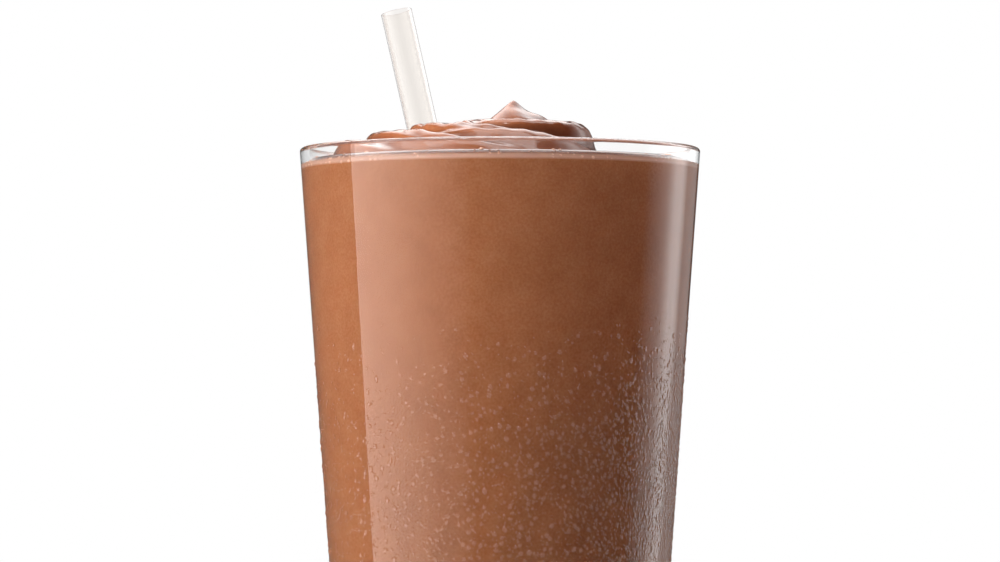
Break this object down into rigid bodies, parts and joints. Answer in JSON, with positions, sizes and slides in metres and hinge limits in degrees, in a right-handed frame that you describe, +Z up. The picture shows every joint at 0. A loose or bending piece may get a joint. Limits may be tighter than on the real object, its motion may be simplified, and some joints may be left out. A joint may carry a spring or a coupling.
{
  "type": "chocolate milkshake in a glass",
  "caption": "Chocolate milkshake with a swirled peak on top, in a tall tapered clear glass tumbler with a straight clear drinking straw.",
  "frame": {"origin": "middle of the glass's foot, on the surface that it stands on", "axes": "+Z up along the glass's axis; +X to the right when the straw leans to the left; +Y away from the viewer"},
  "size_m": [0.0878, 0.0878, 0.1899],
  "materials": {
    "clear_glass": "clear soda-lime glass, fire polished, chilled and dewy",
    "chocolate_milk": "wet, thick, opaque chocolate milk with fine bubbles",
    "clear_straw": "clear extruded plastic"
  },
  "bodies": {
    "root": {"glass": "clear_glass", "milkshake": "chocolate_milk", "straw": "clear_straw"}
  },
  "joints": []
}
